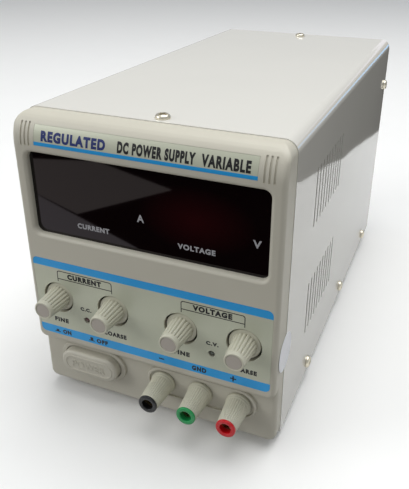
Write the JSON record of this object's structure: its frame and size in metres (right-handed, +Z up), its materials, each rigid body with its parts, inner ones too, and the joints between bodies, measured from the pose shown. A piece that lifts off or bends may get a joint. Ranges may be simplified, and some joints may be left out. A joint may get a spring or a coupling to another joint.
{
  "type": "bench power supply",
  "caption": "Bench power supply: steel box with a stepped plastic front, display window, ribbed knobs, push button and screw-down output terminals.",
  "frame": {"origin": "centre of the footprint of the whole unit, on the table under the feet", "axes": "+X to the operator's right, -Y out of the front panel towards the operator, +Z up"},
  "size_m": [0.1342, 0.2958, 0.1581],
  "materials": {
    "bezel_plastic": "fine-textured moulded ABS",
    "label_sheet": "printed polyester film",
    "smoked_window": "polished smoked acrylic",
    "black_plastic": "moulded",
    "display_plastic": "moulded with a tinted face",
    "circuit_board": "solder mask over glass epoxy",
    "plated_steel": "zinc plated sheet",
    "cover_paint": "smooth baked enamel",
    "core_iron": "varnished laminations",
    "taped_winding": "copper wire under polyester tape",
    "capacitor_sleeve": "shrunk sleeve",
    "sink_aluminium": "black anodised extrusion",
    "foot_rubber": "moulded",
    "lamp_lens": "clear tinted resin",
    "screw_steel": "nickel plated",
    "knob_plastic": "moulded",
    "knob_cap_plastic": "moulded",
    "shaft_steel": "turned",
    "potentiometer_case": "pressed and plated",
    "tip_black": "moulded",
    "tip_green": "moulded",
    "tip_red": "moulded",
    "stud_brass": "turned, nickel flashed"
  },
  "bodies": {
    "cabinet": {"front_bezel": "bezel_plastic", "name_strip": "label_sheet", "control_label": "label_sheet", "display_window": "smoked_window", "power_switch": "black_plastic", "front_board": "circuit_board", "current_digits": "display_plastic", "voltage_digits": "display_plastic", "chassis": "plated_steel", "top_cover": "cover_paint", "transformer_core": "core_iron", "transformer_coil": "taped_winding", "main_board": "circuit_board", "smoothing_capacitor": "capacitor_sleeve", "bridge_rectifier": "black_plastic", "heat_sink": "sink_aluminium", "pass_transistor": "black_plastic", "power_inlet": "black_plastic", "front_left_foot": "foot_rubber", "front_right_foot": "foot_rubber", "rear_left_foot": "foot_rubber", "rear_right_foot": "foot_rubber", "constant_current_lamp": "lamp_lens", "constant_voltage_lamp": "lamp_lens", "top_screw_front": "screw_steel", "top_screw_rear": "screw_steel", "left_screw_1": "screw_steel", "left_screw_2": "screw_steel", "left_screw_3": "screw_steel", "left_screw_4": "screw_steel", "right_screw_1": "screw_steel", "right_screw_2": "screw_steel", "right_screw_3": "screw_steel", "right_screw_4": "screw_steel", "current_fine_potentiometer": "potentiometer_case", "current_coarse_potentiometer": "potentiometer_case", "voltage_fine_potentiometer": "potentiometer_case", "voltage_coarse_potentiometer": "potentiometer_case", "negative_terminal_stud": "stud_brass", "ground_terminal_stud": "stud_brass", "positive_terminal_stud": "stud_brass"},
    "current_fine_dial": {"current_fine_knob": "knob_plastic", "current_fine_knob_cap": "knob_cap_plastic", "current_fine_shaft": "shaft_steel"},
    "current_coarse_dial": {"current_coarse_knob": "knob_plastic", "current_coarse_knob_cap": "knob_cap_plastic", "current_coarse_shaft": "shaft_steel"},
    "voltage_fine_dial": {"voltage_fine_knob": "knob_plastic", "voltage_fine_knob_cap": "knob_cap_plastic", "voltage_fine_shaft": "shaft_steel"},
    "voltage_coarse_dial": {"voltage_coarse_knob": "knob_plastic", "voltage_coarse_knob_cap": "knob_cap_plastic", "voltage_coarse_shaft": "shaft_steel"},
    "power_push_button": {"power_button": "bezel_plastic"},
    "negative_tip": {"negative_terminal_tip": "tip_black"},
    "negative_sleeve": {"negative_terminal_sleeve": "knob_plastic"},
    "ground_tip": {"ground_terminal_tip": "tip_green"},
    "ground_sleeve": {"ground_terminal_sleeve": "knob_plastic"},
    "positive_tip": {"positive_terminal_tip": "tip_red"},
    "positive_sleeve": {"positive_terminal_sleeve": "knob_plastic"}
  },
  "joints": [
    {"name": "current_fine_turn", "type": "hinge", "parent": "cabinet", "child": "current_fine_dial", "pos_m": [-0.04927, -0.1341, 0.0624], "axis": [0, -1, 0], "range_deg": [-150, 150]},
    {"name": "current_coarse_turn", "type": "hinge", "parent": "cabinet", "child": "current_coarse_dial", "pos_m": [-0.01807, -0.1341, 0.0624], "axis": [0, -1, 0], "range_deg": [-150, 150]},
    {"name": "voltage_fine_turn", "type": "hinge", "parent": "cabinet", "child": "voltage_fine_dial", "pos_m": [0.01807, -0.1341, 0.0624], "axis": [0, -1, 0], "range_deg": [-150, 150]},
    {"name": "voltage_coarse_turn", "type": "hinge", "parent": "cabinet", "child": "voltage_coarse_dial", "pos_m": [0.04927, -0.1341, 0.0624], "axis": [0, -1, 0], "range_deg": [-150, 150]},
    {"name": "power_press", "type": "slide", "parent": "cabinet", "child": "power_push_button", "axis": [0, 1, 0], "range_m": [0, 0.003], "stiffness_N_per_m": 800, "springref_m": -0.001},
    {"name": "negative_terminal_travel", "type": "slide", "parent": "cabinet", "child": "negative_tip", "axis": [0, -1, 0], "range_m": [0, 0.0032]},
    {"name": "negative_terminal_turn", "type": "hinge", "parent": "negative_tip", "child": "negative_sleeve", "pos_m": [0.00619, -0.1341, 0.0241], "axis": [0, -1, 0], "range_deg": [0, 1440]},
    {"name": "ground_terminal_travel", "type": "slide", "parent": "cabinet", "child": "ground_tip", "axis": [0, -1, 0], "range_m": [0, 0.0032]},
    {"name": "ground_terminal_turn", "type": "hinge", "parent": "ground_tip", "child": "ground_sleeve", "pos_m": [0.02619, -0.1341, 0.0241], "axis": [0, -1, 0], "range_deg": [0, 1440]},
    {"name": "positive_terminal_travel", "type": "slide", "parent": "cabinet", "child": "positive_tip", "axis": [0, -1, 0], "range_m": [0, 0.0032]},
    {"name": "positive_terminal_turn", "type": "hinge", "parent": "positive_tip", "child": "positive_sleeve", "pos_m": [0.04619, -0.1341, 0.0241], "axis": [0, -1, 0], "range_deg": [0, 1440]}
  ],
  "couplings": [
    {"joint": "negative_terminal_travel", "follows": "negative_terminal_turn", "m_per_rad": 0.00012732},
    {"joint": "ground_terminal_travel", "follows": "ground_terminal_turn", "m_per_rad": 0.00012732},
    {"joint": "positive_terminal_travel", "follows": "positive_terminal_turn", "m_per_rad": 0.00012732}
  ]
}
